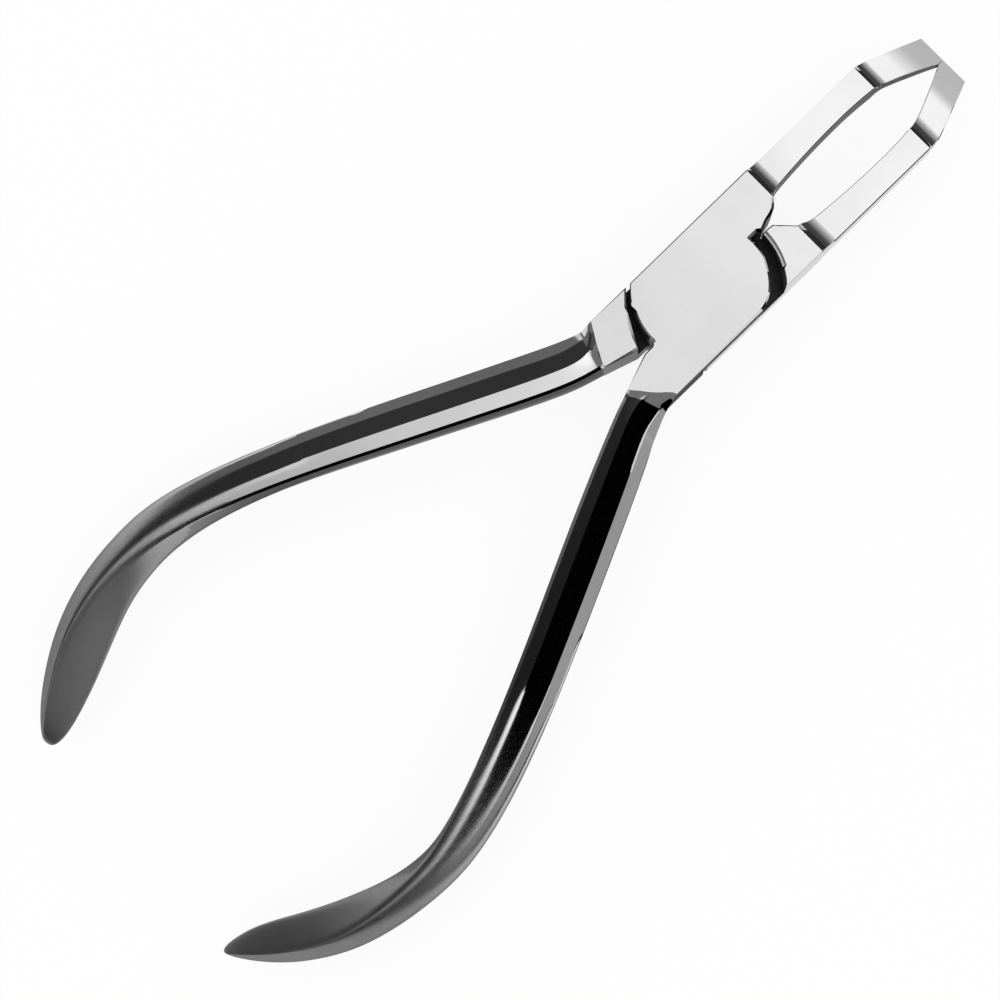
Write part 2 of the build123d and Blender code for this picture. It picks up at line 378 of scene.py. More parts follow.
def curve_through(points, count=6):
    """Points on a smooth curve through the given ones."""
    extended = [points[0], *points, points[-1]]
    found = [points[0]]
    for a, b, c, d in zip(extended, extended[1:], extended[2:], extended[3:]):
        for i in range(1, count + 1):
            t = i / count
            found.append(
                tuple(
                    0.5 * (2 * q + (r - p) * t + (2 * p - 5 * q + 4 * r - s) * t**2
                           + (3 * q - p - 3 * r + s) * t**3)
                    for p, q, r, s in zip(a, b, c, d)
                )
            )
    return found


# %% Thickness of the beak
def hollow(x, start, run, high, low):
    """Height on a hollow ground step, an arc that ends level."""
    drop = high - low
    radius = (run**2 + drop**2) / (2 * drop)
    return low + radius - math.sqrt(radius**2 - (start + run - x) ** 2)


def step_height(x, steps):
    """Half the beak's thickness at x: two hollow ground steps and the taper of the tip."""
    step_x, step_run, tip_x, tip_run, blend = steps
    if x < step_x:
        return THICKNESS / 2
    if x < step_x + step_run:
        return hollow(x, step_x, step_run, THICKNESS / 2, SHANK_HALF)
    if x < tip_x:
        return SHANK_HALF
    if x < tip_x + tip_run:
        return hollow(x, tip_x, tip_run, SHANK_HALF, TIP_HALF)
    slope = (TIP_HALF - END_HALF) / (BEAK_REACH - TAPER_X)
    into = x - TAPER_X + blend / 2
    if into < 0:
        return TIP_HALF
    if into < blend:
        return TIP_HALF - slope * into**2 / (2 * blend)
    return TIP_HALF - slope * (x - TAPER_X)


# %% Outlines of a lever
def lever_outlines(root_shares, heel_shares, notch_share):
    """The outlines of the plate with its beak, of the beak alone, and of the heel."""
    w = HALF_WIDTH
    length = BEAK_REACH - STEP_X
    flat = (BEAK_REACH - FLAT_LENGTH, FLAT_GAP)
    loop = [(STEP_X + x * length, y * w) for x, y in LOOP_SHARES]
    root = [(x * STEP_X, y * w) for x, y in root_shares]
    wall_end = on_circle(BEAK_WALL_RADIUS, WALL_START_Y)
    wall_top = on_circle(BEAK_WALL_RADIUS, w)
    beak = [
        *rounded(wall_top, (CORNER_X, w), (BEAK_REACH, TIP_WIDTH), CORNER_RADIUS),
        (BEAK_REACH, TIP_WIDTH),
        (BEAK_REACH, flat[1]),
        *curve_through([flat, *loop]),
        *root,
    ]
    heel_x, heel_y = heel_shares[0][0] * w, -heel_shares[0][1] * w
    heel_end = (CUT_X, -wall_at_x(heel_shares, CUT_X))
    heel_corner = (CUT_X, -w)
    notch = (notch_share[0] * w, notch_share[1] * w)
    toe = [(x * w, y * w) for x, y in TOE_SHARES]
    toe_start = on_circle(TOE_RADIUS, notch[1])
    toe_before = arc(TOE_RADIUS, toe_start, on_circle(TOE_RADIUS, toe[0][1]))
    plate_heel = on_circle(PLATE_RADIUS, heel_y, side=-1)
    heel_after = on_circle(PLATE_RADIUS, HEEL_CORNER_Y, side=-1)
    plate_start = on_circle(PLATE_RADIUS, PLATE_ARC_Y, side=-1)
    plate_end = on_circle(PLATE_RADIUS, w, side=-1)
    plate = [
        *beak,
        wall_end,
        notch,
        *toe_before,
        *curve_through([toe_before[-1], *toe[1:]], 4)[1:],
        heel_corner,
        heel_end,
        (heel_x, heel_y),
        *rounded((heel_x, heel_y), plate_heel, heel_after, HEEL_CORNER_RADIUS),
        *arc(PLATE_RADIUS, plate_start, plate_end),
    ]
    whole_beak = [*beak, *arc(BEAK_WALL_RADIUS, wall_end, wall_top)]
    bend = (HEEL_BEND[0] * HEEL_WALL_RADIUS, HEEL_BEND[1] * HEEL_WALL_RADIUS)
    heel = [
        heel_end, (heel_x, heel_y), bend, on_circle(HEEL_WALL_RADIUS, -w, side=-1), heel_corner,
    ]
    return plate, whole_beak, heel


# %% [markdown]
# ## Milling the block
# On the real pliers the plate, the beak and the heel are one forging with the lap milled away.
# A box could be cut down to that, but three prisms from three outlines are simpler to follow:
# a circle with as many corners as the outline has points is moved onto them and extruded, and
# Boolean modifiers join the three. The bore and the relief at the heel are cut out, as they are
# on the real piece. At the end the beak is bisected across, and the new points are set to the
# height of the hollow ground steps.


# %% Prisms and Booleans
def prism(name, outline, low, high):
    """An outline extruded between two heights, which are given from the lap's middle."""
    bpy.ops.object.select_all(action="DESELECT")
    bpy.ops.mesh.primitive_circle_add(vertices=len(outline), radius=MM, fill_type="NGON")
    made = bpy.context.object
    made.name = name
    for vertex, (x, y) in zip(made.data.vertices, outline):
        vertex.co = (x, y, MIDDLE + low)
    edit(made, "FACE")
    bpy.ops.mesh.select_all(action="SELECT")
    bpy.ops.mesh.extrude_region_move(TRANSFORM_OT_translate={"value": (0, 0, high - low)})
    bpy.ops.mesh.select_all(action="SELECT")
    bpy.ops.mesh.normals_make_consistent(inside=False)
    leave()
    return made


def combine(target, tool, operation):
    modifier = target.modifiers.new("cut", "BOOLEAN")
    modifier.operation = operation
    modifier.solver = "EXACT"
    modifier.object = tool
    apply_all(target)
    bpy.data.objects.remove(tool, do_unlink=True)


# %% Block sizes
# The relief at the heel is a cone, placed by shares of the half width and by its height
RELIEF_WIDE = 9.4 * MM
RELIEF_NARROW = 6.4 * MM
RELIEF_DEPTH = 1.5 * MM
RELIEF_RISE = 0.5 * MM
RELIEF_PLACE = (-0.275, 0.247)
RELIEF_SIDES = 144
BORE_SIDES = 96
# Faces that lean less than this are one flat face
FLAT_ANGLE = math.radians(0.05)
TAPER_STATIONS = 8
STEP_STATIONS = 12
STATION_TURN = 7.5
# Points of the beak beyond this share of half the thickness are set to the steps' height
THINNED_SHARE = 0.9


# %% Block
def joint_block(name, root_shares, heel_shares, notch_share, steps, bore_radius):
    """The lever without its handle, laid out with the plate in front and the beak at +Y."""
    half = THICKNESS / 2
    step_x, step_run, tip_x, tip_run, blend = steps
    plate, whole_beak, heel = lever_outlines(root_shares, heel_shares, notch_share)
    block = prism(name + "_block", plate, LAP_HALF, half)
    combine(block, prism("beak", whole_beak, -half, half / 2), "UNION")
    combine(block, prism("heel", heel, -half, half / 2), "UNION")

    # relief that is ground off the heel's edge
    bpy.ops.object.select_all(action="DESELECT")
    bpy.ops.mesh.primitive_cone_add(
        vertices=RELIEF_SIDES, radius1=RELIEF_WIDE, radius2=RELIEF_NARROW, depth=RELIEF_DEPTH,
        location=(
            RELIEF_PLACE[0] * HALF_WIDTH,
            RELIEF_PLACE[1] * HALF_WIDTH,
            MIDDLE - half + RELIEF_RISE,
        ),
    )
    combine(block, bpy.context.object, "DIFFERENCE")

    # bore for the rivet
    bpy.ops.object.select_all(action="DESELECT")
    bpy.ops.mesh.primitive_cylinder_add(
        vertices=BORE_SIDES, radius=bore_radius, depth=3 * THICKNESS, location=(0, 0, MIDDLE)
    )
    combine(block, bpy.context.object, "DIFFERENCE")

    edit(block)
    bpy.ops.mesh.select_all(action="SELECT")
    bpy.ops.mesh.remove_doubles(threshold=TOUCH)
    bpy.ops.mesh.dissolve_limited(angle_limit=FLAT_ANGLE)

    # stations across the beak, where its thickness changes
    stations = [
        TAPER_X + blend * (i / TAPER_STATIONS - 0.5) for i in range(TAPER_STATIONS + 1)
    ]
    for start, run in ((step_x, step_run), (tip_x, tip_run)):
        for i in range(STEP_STATIONS + 1):
            stations.append(start + run * (1 - math.cos(math.radians(i * STATION_TURN))))
    for x in stations:
        bpy.ops.mesh.select_all(action="SELECT")
        bpy.ops.mesh.bisect(plane_co=(x, 0, 0), plane_no=(1, 0, 0), threshold=TOUCH)
    leave()
    for vertex in block.data.vertices:
        x, y, z = vertex.co
        if x > step_x - TOUCH and abs(z - MIDDLE) > half * THINNED_SHARE:
            vertex.co.z = MIDDLE + math.copysign(step_height(x, steps), z - MIDDLE)

    # open where the handle joins on
    for face in block.data.polygons:
        face.select = all(block.data.vertices[v].co.x < CUT_X + TOUCH for v in face.vertices)
    edit(block, "FACE")
    bpy.ops.mesh.delete(type="ONLY_FACE")
    leave()
    print(name, "block:", len(block.data.polygons), "faces")
    return block


# %% [markdown]
# ## The handles
# A handle is drawn out of the shoulder with a narrow strip on its inner edge, two long flats
# that meet at a crown, and a bevel outside. Near the joint these meet in crisp lines, and the
# polishing rounds them off towards the grip. So each handle is a cage: one ring of twelve
# points, extruded from station to station. Creases along the crisp lines fade out towards the
# grip, and Subdivision Surface makes the smooth surface between the rings.

# %% Handle stations
# Each row: share of the way from the root to the end, inner and outer edge as shares of the
# spread, share of the width where the inner wall ends, height of the crown as a share of the
# grip's, and height of the outer wall as a share of the crown's.
FRONT_STATIONS = [
    (0.054, 0.093, 0.288, 0.01, 1.09, 0.55),
    (0.095, 0.136, 0.349, 0.02, 1.06, 0.52),
    (0.215, 0.285, 0.511, 0.02, 0.98, 0.52),
    (0.334, 0.446, 0.666, 0.02, 0.92, 0.51),
    (0.453, 0.602, 0.818, 0.02, 0.89, 0.50),
    (0.572, 0.742, 0.942, 0.03, 0.91, 0.47),
    (0.644, 0.809, 0.988, 0.04, 0.95, 0.43),
    (0.692, 0.835, 1.000, 0.10, 0.98, 0.38),
    (0.751, 0.812, 0.990, 0.25, 1.00, 0.33),
    (0.811, 0.749, 0.962, 0.43, 0.98, 0.25),
    (0.871, 0.671, 0.908, 0.56, 0.89, 0.25),
    (0.930, 0.575, 0.803, 0.59, 0.70, 0.25),
    (0.966, 0.545, 0.705, 0.58, 0.49, 0.25),
    (0.990, 0.538, 0.617, 0.54, 0.27, 0.30),
    (1.000, 0.548, 0.565, 0.50, 0.10, 0.60),
]
REAR_STATIONS = [
    (0.055, 0.068, 0.260, 0.01, 1.09, 0.55),
    (0.097, 0.100, 0.315, 0.02, 1.06, 0.52),
    (0.219, 0.265, 0.477, 0.02, 0.98, 0.52),
    (0.341, 0.431, 0.642, 0.02, 0.92, 0.51),
    (0.463, 0.596, 0.794, 0.03, 0.89, 0.50),
    (0.584, 0.719, 0.922, 0.11, 0.91, 0.47),
    (0.657, 0.755, 0.965, 0.20, 0.95, 0.43),
    (0.706, 0.756, 0.969, 0.31, 0.98, 0.38),
    (0.767, 0.728, 0.957, 0.43, 1.00, 0.33),
    (0.828, 0.657, 0.918, 0.54, 0.98, 0.25),
    (0.889, 0.583, 0.845, 0.62, 0.89, 0.25),
    (0.949, 0.527, 0.732, 0.62, 0.70, 0.25),
    (0.980, 0.514, 0.651, 0.60, 0.49, 0.25),
    (0.995, 0.523, 0.600, 0.54, 0.27, 0.30),
    (1.000, 0.546, 0.573, 0.50, 0.10, 0.60),
]
ROOT_REACH = 12.0 * MM
GRIP_HALF = 3.9 * MM
print(len(FRONT_STATIONS), "stations on the front handle,", len(REAR_STATIONS), "on the rear")

# %% Root rings
# Points at the root as shares of the joint's half width: along, then out from the axis. They
# are the end of a flat face, and the foot of the slope behind it, for a plate face and for a
# shoulder face, each as inner, crown, outer and wall corner.
PLATE_END = [(-2.213, 0.345), (-1.935, 0.660), (-1.672, 0.935), (-1.647, 1.0)]
PLATE_FOOT = [(-2.262, 0.410), (-2.205, 0.632), (-2.027, 0.989), (-2.015, 1.090)]
SHOULDER_END = [(-2.217, 0.300), (-2.030, 0.640), (-1.850, 0.955), (-1.825, 1.0)]
SHOULDER_FOOT = [(-2.285, 0.325), (-2.265, 0.640), (-2.135, 0.880), (-2.100, 1.000)]
# Heights above the lap's middle: the parting line, and the foot of the slope from the inner
# wall out over the ridge and the crown to the outer wall
PARTING = 0.37 * MM
FOOT_HEIGHTS = [3.72 * MM, 4.08 * MM, 4.28 * MM, 3.56 * MM, 3.05 * MM]
CORNER_OFFSET = 0.1 * MM
# The ring halfway down the slope, and how far it has dropped on the inner and the outer part
SLOPE_SHARE = 0.5
INNER_DROP = 0.60
OUTER_DROP = 0.48

# %% Cross section
OUTER_BEVEL = 1.5 * MM
BEVEL_SHARE = 0.26
RIDGE_STEP = 0.07
# Heights as shares of the crown's: foot and top of the inner wall, ridge, outer ridge
WALL_FOOT = 0.12
WALL_TOP = 0.86
RIDGE_HEIGHT = 0.93
OUTER_RIDGE_HEIGHT = 0.79


def section(inner, outer, wall_at, crown_height, outer_wall, crown_share):
    """Upper half of a handle's cross section: six points from the inner to the outer edge."""
    width = outer - inner
    wall_top = inner + wall_at * width
    ridge = wall_top + RIDGE_STEP * width
    outer_ridge = outer - min(OUTER_BEVEL, BEVEL_SHARE * width)
    crown = ridge + crown_share * (outer_ridge - ridge)
    return [
        (inner, WALL_FOOT * crown_height),
        (wall_top, WALL_TOP * crown_height),
        (ridge, RIDGE_HEIGHT * crown_height),
        (crown, crown_height),
        (outer_ridge, max(OUTER_RIDGE_HEIGHT, outer_wall) * crown_height),
        (outer, outer_wall * crown_height),
    ]


# %% Rings of a handle
def root_upper(heel, end, foot):
    """Upper half of the four rings between the block and the handle proper."""
    half = THICKNESS / 2
    w = HALF_WIDTH
    inner = wall_at_x(heel, CUT_X)
    between = (inner + w) / 2
    cut = [(inner, PARTING), (inner, half), (inner, half), (between, half), (w, half), (w, half)]
    (ix, iy), (cx, cy), (ox, oy), (wx, wy) = [(x * w, y * w) for x, y in end]
    face_end = [
        (ix, wall_at_x(heel, ix), PARTING),
        (ix, wall_at_x(heel, ix), half),
        (ix + CORNER_OFFSET, iy + CORNER_OFFSET, half),
        (cx, cy, half),
        (ox, oy, half),
        (wx, wy, half),
    ]
    (ix, iy), (cx, cy), (ox, oy), (wx, wy) = [(x * w, y * w) for x, y in foot]
    slope_foot = [
        (ix, wall_at_x(heel, ix), PARTING),
        (ix, wall_at_x(heel, ix), FOOT_HEIGHTS[0]),
        (ix, iy, FOOT_HEIGHTS[1]),
        (cx, cy, FOOT_HEIGHTS[2]),
        (ox, oy, FOOT_HEIGHTS[3]),
        (wx, wy, FOOT_HEIGHTS[4]),
    ]
    middle = []
    for k, (before, after) in enumerate(zip(face_end, slope_foot)):
        x, s, z = (b + SLOPE_SHARE * (a - b) for b, a in zip(before, after))
        drop = INNER_DROP if k < 4 else OUTER_DROP
        middle.append((x, s, z if k == 0 else before[2] + drop * (after[2] - before[2])))
    return [[(CUT_X, s, z) for s, z in cut], face_end, middle, slope_foot]


def ring_list(reach, stations, heel, crown_share):
    """All rings from the block to the end of the grip, twelve points each."""
    upper = root_upper(heel, PLATE_END, PLATE_FOOT)
    lower = root_upper(heel, SHOULDER_END, SHOULDER_FOOT)
    rings = []
    for high, low in zip(upper, lower):
        ring = [(x, -s, MIDDLE + z) for x, s, z in high]
        ring += [(x, -s, MIDDLE - z) for x, s, z in reversed(low)]
        rings.append(ring)
    for along, inner, outer, wall_at, crown, outer_wall in stations:
        x = -(ROOT_REACH + along * (reach - ROOT_REACH))
        points = section(
            inner * SPREAD, outer * SPREAD, wall_at, crown * GRIP_HALF, outer_wall, crown_share
        )
        ring = [(x, -s, MIDDLE + z) for s, z in points]
        ring += [(x, -s, MIDDLE - z) for s, z in reversed(points)]
        rings.append(ring)
    return rings


# %% [markdown]
# ## Extruding the cage
# A handle could be bent from a straight bar, but its section changes all the way, so the
# first ring is extruded once for each station and its new points are set to that station.
# Corners of the first ring that share a place have to stay apart for that, so they are lifted
# off each other by a hair and put back at the end.


# %% Handle cage
def place_selected(obj, before, after):
    """Each selected point goes to the point of the next ring that follows on its own."""
    mesh = obj.data
    bpy.ops.object.mode_set(mode="OBJECT")
    for vertex in mesh.vertices:
        if vertex.select:
            nearest = min(range(len(before)), key=lambda i: (Vector(before[i]) - vertex.co).length)
            vertex.co = after[nearest]
    bpy.ops.object.mode_set(mode="EDIT")


def handle_cage(name, rings):
    """Corners that share a place in the first ring are kept apart until the cage is whole."""
    apart = 0.01 * MM
    first = [(x, y, z + apart * k) for k, (x, y, z) in enumerate(rings[0])]
    bpy.ops.object.select_all(action="DESELECT")
    bpy.ops.mesh.primitive_circle_add(vertices=len(rings[0]), radius=THICKNESS)
    cage = bpy.context.object
    cage.name = name
    for vertex, point in zip(cage.data.vertices, first):
        vertex.co = point
    edit(cage, "VERT")
    bpy.ops.mesh.select_all(action="SELECT")
    for before, after in zip([first, *rings[1:]], rings[1:]):
        bpy.ops.mesh.extrude_region_move()
        place_selected(cage, before, after)
    bpy.ops.mesh.edge_face_add()
    bpy.ops.mesh.select_all(action="SELECT")
    bpy.ops.mesh.normals_make_consistent(inside=False)
    leave()
    for vertex in cage.data.vertices:
        if vertex.co.x > CUT_X - TOUCH:
            nearest = min(range(len(first)), key=lambda i: (Vector(first[i]) - vertex.co).length)
            vertex.co = rings[0][nearest]
    return cage


# %% [markdown]
# ## Creases that fade
# Along the real handles the lines between the facets are crisp at the joint and polished away
# at the grips. Bevels would need a width at each place. A crease is one number on an edge, and
# Subdivision Surface turns it into a line that softens as the number falls.

# %% Creases
# Where a line begins to soften and where it is softest, in metres along X, then its crease at
# the crisp and at the soft end
CROWN_CREASE = (-0.030, -0.070, 0.9, 0.0)
RIDGE_CREASE = (-0.035, -0.085, 0.75, 0.25)
WALL_CREASE = (-0.030, -0.070, 0.6, 0.2)
SLOPE_CREASE = 0.7
FOOT_CREASE = 0.35


def fade(x, crisp_x, soft_x, crisp, soft):
    share = min(max((x - crisp_x) / (soft_x - crisp_x), 0.0), 1.0)
    return crisp + share * (soft - crisp)


def crease_cage(cage, rings):
    """Rings 0 and 1 stay sharp, the slope nearly so, and the lines along the handle fade."""
    mesh = cage.data
    places = [(Vector(point), r, k) for r, ring in enumerate(rings) for k, point in enumerate(ring)]
    found = [
        min(places, key=lambda place: (place[0] - vertex.co).length)[1:] for vertex in mesh.vertices
    ]
    creases = mesh.attributes.new("crease_edge", "FLOAT", "EDGE")
    for edge in mesh.edges:
        (ra, ka), (rb, kb) = (found[v] for v in edge.vertices)
        x = (mesh.vertices[edge.vertices[0]].co.x + mesh.vertices[edge.vertices[1]].co.x) / 2
        value = 0.0
        if ra != rb:
            line = min(ka, 11 - ka)
            if max(ra, rb) <= 1:
                value = 1.0
            elif max(ra, rb) <= 3:
                value = 1.0 if line in (1, 2, 3) else SLOPE_CREASE
            elif line in (3, 4):
                value = fade(x, *CROWN_CREASE)
            elif line in (1, 2):
                value = fade(x, *RIDGE_CREASE)
            elif line == 5:
                value = fade(x, *WALL_CREASE)
        elif ra <= 1:
            value = 1.0
        elif ra == 3:
            value = FOOT_CREASE
        creases.data[edge.index].value = value


# %% Handles
# The heel's faces end here and the handle's begin
HANDLE_X = -14.7 * MM
CAGE_LEVELS = 3
# Parts of the normal along Z, of a truly level face and of a truly upright one, and the share
# of half the thickness beyond which a level face is one of the joint's
TRUE_LEVEL_Z = 0.9999
TRUE_UPRIGHT_Z = 0.002
FACE_SHARE = 0.99


def tidy_flats(obj):
    """The flat faces of the joint and the heel become one face each."""
    edit(obj, "FACE")
    bpy.ops.mesh.select_all(action="SELECT")
    bpy.ops.mesh.remove_doubles(threshold=TOUCH)
    bpy.ops.mesh.select_all(action="DESELECT")
    leave()
    half = THICKNESS / 2
    for face in obj.data.polygons:
        height = abs(face.center.z - MIDDLE)
        level = abs(face.normal.z) > TRUE_LEVEL_Z and height > FACE_SHARE * half
        upright = abs(face.normal.z) < TRUE_UPRIGHT_Z and face.center.x > HANDLE_X
        face.select = (level and face.center.x < STEP_X) or upright
    edit(obj, "FACE")
    bpy.ops.mesh.dissolve_limited(angle_limit=FLAT_ANGLE)
    leave()


def make_handle(name, reach, stations, heel, crown_share):
    """The cage, its creases, and the smooth surface made from both."""
    rings = ring_list(reach, stations, heel, crown_share)
    cage = handle_cage(name, rings)
    crease_cage(cage, rings)
    smooth = cage.modifiers.new("forging", "SUBSURF")
    smooth.levels = smooth.render_levels = CAGE_LEVELS
    smooth.use_limit_surface = False
    apply_all(cage)
    tidy_flats(cage)
    print(name, len(cage.data.polygons), "faces")
    return cage


# %% [markdown]
# ## Broken edges
# No edge of a real instrument is left knife sharp. The wheel breaks each one by its own amount:
# hardly at all on the beaks, wide where the walls meet the joint face. Moving the edges by
# hand would take an edge at a time, so a Bevel modifier does it, limited by a weight on each
# edge. Where two edges run on into each other almost straight, their widths may differ only a
# little, or the corner between them is thrown far out, so the long side's width fades into
# that of the toe.

# %% Edge sizes
WIDEST_EDGE = 0.50 * MM
WALL_EDGE = 0.45 * MM
STRIP = 0.38 * MM
ROOT_EDGE = 0.34 * MM
SIDE_EDGE = 0.32 * MM
JOINT_EDGE = 0.22 * MM
ROUND = 0.16 * MM
OUTLINE_EDGE = 0.12 * MM
BEAK_EDGE = 0.07 * MM
# An edge is broken where its faces turn more than this
SHARP_TURN = math.radians(55)
# Distances that tell the block's edges from those of the bore, the lap, the tip and the handle
BORE_LIMIT = 3.6 * MM
LAP_LIMIT = 1.0 * MM
TIP_LIMIT = 0.05 * MM
FACE_LIMIT = 4.49 * MM
BLOCK_END_X = -15 * MM
SHOULDER_X = -10 * MM
HEEL_X = -5 * MM
JOINT_REACH = 10 * MM
STRIP_REACH = 2.6 * MM
ROOT_X = 9.5 * MM
# Over how much of its turn the long side's width fades into the toe's
FADE_TURN = 0.6
# The beaks' outer sides lie beyond this, and the joint's middle within this
OUTER_SIDE = HALF_WIDTH * 0.8
NEAR_AXIS = 0.05 * HALF_WIDTH
# Parts of a normal along the axis in the name, from 0 across it to 1 along it: an upright
# face, one that isn't, the cone of the relief, and walls that look aside or backwards
UPRIGHT_Z = 0.1
LEANING_Z = 0.2
CONE_Z = (0.8, 0.95)
ASIDE_Y = 0.5
BACKWARD_X = 0.3
HARDLY_BACK_X = 0.05
print("edges from", round(BEAK_EDGE / MM, 2), "to", round(WIDEST_EDGE / MM, 2), "mm wide")


# %% Edge weights
def off_lap(point):
    return abs(point.z - MIDDLE)


def edge_weights(obj, chosen):
    """Bevel widths for the crisp outline edges of the block, as shares of the widest."""
    mesh = obj.data
    if "bevel_weight_edge" in mesh.attributes:
        mesh.attributes.remove(mesh.attributes["bevel_weight_edge"])
    weights = mesh.attributes.new("bevel_weight_edge", "FLOAT", "EDGE")
    faces_of = {}
    for face in mesh.polygons:
        for key in face.edge_keys:
            faces_of.setdefault(key, []).append(face)
    for edge in mesh.edges:
        a, b = (mesh.vertices[v].co for v in edge.vertices)
        faces = faces_of.get(tuple(sorted(edge.vertices)), [])
        if len(faces) != 2 or min(a.x, b.x) < BLOCK_END_X:
            continue
        level, side = sorted((face.normal for face in faces), key=lambda n: -abs(n.z))
        sharp = (
            level.angle(side, 0) > SHARP_TURN
            and abs(level.z) > LEANING_Z and abs(side.z) < UPRIGHT_Z
        )
        lowest = min(off_lap(a), off_lap(b))
        relief = CONE_Z[0] < abs(level.z) < CONE_Z[1] and a.x < HEEL_X
        inside = lowest < LAP_LIMIT
        in_bore = math.hypot((a.x + b.x) / 2, (a.y + b.y) / 2) < BORE_LIMIT
        at_tip = min(a.x, b.x) > BEAK_REACH - TIP_LIMIT
        on_handle = max(a.x, b.x) < SHOULDER_X and lowest < FACE_LIMIT
        if sharp and not (relief or inside or in_bore or at_tip or on_handle):
            weights.data[edge.index].value = chosen(a, b, side) / WIDEST_EDGE


# %% Bevels
def bevel_edges(obj, segments):
    bevel = obj.modifiers.new("wheel_edge", "BEVEL")
    bevel.limit_method = "WEIGHT"
    bevel.width = WIDEST_EDGE
    bevel.segments = segments
    bevel.use_clamp_overlap = False
    apply_all(obj)


def break_edges(obj, step_x, turned):
    """The chamfers of the joint and the beak first, then the one long edge that is rounded."""
    facing = -1 if turned else 1

    def is_round(a, b, side):
        return side.y * facing > ASIDE_Y and max(a.x, b.x) < step_x + TOUCH

    def rounding(a, b, side):
        return ROUND if is_round(a, b, side) else 0.0

    def chamfer(a, b, side):
        x = (a.x + b.x) / 2
        if is_round(a, b, side):
            return 0.0
        if x > step_x:
            outer = abs(side.y) > ASIDE_Y and max(a.y, b.y) > OUTER_SIDE
            if outer:
                return OUTLINE_EDGE if turned else 0.0
            return BEAK_EDGE
        if side.x < -BACKWARD_X and math.hypot(x, a.y) < JOINT_REACH:
            return WALL_EDGE
        if max(a.x, b.x) < SHOULDER_X and -a.y < STRIP_REACH and a.z < MIDDLE:
            return STRIP
        if x > ROOT_X and side.y < -ASIDE_Y:
            return ROOT_EDGE
        if side.y * facing < 0.0 and abs(a.y) > NEAR_AXIS and side.x > -HARDLY_BACK_X:
            share = min(max(side.x / FADE_TURN, 0.0), 1.0)
            return SIDE_EDGE + share * (JOINT_EDGE - SIDE_EDGE)
        return JOINT_EDGE

    edge_weights(obj, chamfer)
    bevel_edges(obj, 1)
    edge_weights(obj, rounding)
    bevel_edges(obj, 2)


# %% [markdown]
# ## Which face has which finish
# The finishes follow the faces, and the darker ones carry painted shade. Which way a face looks and
# where it lies tells the flanks, the lap and the walls apart, and each gets the slot of its finish.
# Everything else keeps the lever's own.

# %% Finishes by face
FINISHES = (
    LEVER_STEEL, FLANK_SHADE_STEEL, LAP_SHADOW_STEEL, OUTER_STEEL, WALL_SHADE_STEEL, LOOP_SHADE_STEEL, INNER_SHADE_STEEL,
)
LEVER, SHADED_FLANK, LAP_SHADOW, OUTER, SHADED_WALL, SHADED_LOOP, SHADED_INNER = range(len(FINISHES))
NEAR_LAP = 0.05 * MM
HEEL_SIDE_X = -9.5 * MM
ROOT_SIDE_X = 9 * MM
BEAK_SIDE = HALF_WIDTH * 0.5
# More parts of a normal: the lap, a wall that looks to the tips, the beaks' straight sides,
# walls that look away from the tips or into the loop, and the handles' inner walls
LAP_Z = 0.99
FORWARD_X = 0.3
STRAIGHT_Y = 0.9
AWAY_X = 0.2
INWARD_Y = 0.2
INNER_WALL_Z = 0.35


def choose_finishes(obj, turned):
    """The slot of each face. The test for the heel's wall, which gets the lap's painted shadow, has
    no limit towards the grips, so it also takes part of the handles' outer walls."""
    mesh = obj.data
    for material in FINISHES:
        mesh.materials.append(material)
    facing = -1 if turned else 1
    for face in mesh.polygons:
        x, y, z = face.center
        lap = abs(face.normal.z) > LAP_Z and abs(z - MIDDLE) < NEAR_LAP
        steep = abs(face.normal.z) < UPRIGHT_Z
        heel_wall = face.normal.x > FORWARD_X and steep and x < HEEL_X
        upright = steep and x > BLOCK_END_X and math.hypot(x, y) > BORE_LIMIT
        away = math.hypot(x, y) < JOINT_REACH and face.normal.x < -AWAY_X
        # Painted shadow: the lap and the heel's wall get the nearly black steel.
        if lap or heel_wall:
            face.material_index = LAP_SHADOW
        elif upright and x > STEP_X and abs(y) > BEAK_SIDE and abs(face.normal.y) > STRAIGHT_Y:
            outer = (y > 0) == (face.normal.y > 0)
            face.material_index = OUTER if outer else SHADED_LOOP
        elif upright and away:
            face.material_index = SHADED_WALL
        elif upright and x < HEEL_SIDE_X and face.normal.y * facing > ASIDE_Y:
            face.material_index = LEVER
        elif upright and x > ROOT_SIDE_X and face.normal.y * facing < -INWARD_Y:
            face.material_index = SHADED_LOOP
        # Painted shade: the remaining upright walls get the darker flank steel.
        elif upright:
            face.material_index = SHADED_FLANK
        # Painted shade: the handles' inner walls get the darker inner steel.
        elif (
            x < HANDLE_X and abs(face.normal.z) < INNER_WALL_Z
            and face.normal.y * facing > ASIDE_Y
        ):
            face.material_index = SHADED_INNER


# %% [markdown]
# ## The two levers
# Block and handle are joined into one forging, as on the real pliers, so that no seam shows at
# the shoulder. The rear lever is made like the front one and turned over about the long axis.
# Each lever rides on its own body and takes the place of its CAD node.

# %% Levers
SMOOTH_TURN = math.radians(20)
FRONT_BORE = 3.203 * MM
REAR_BORE = 3.201 * MM
FRONT_CROWN = 0.35
REAR_CROWN = 0.45


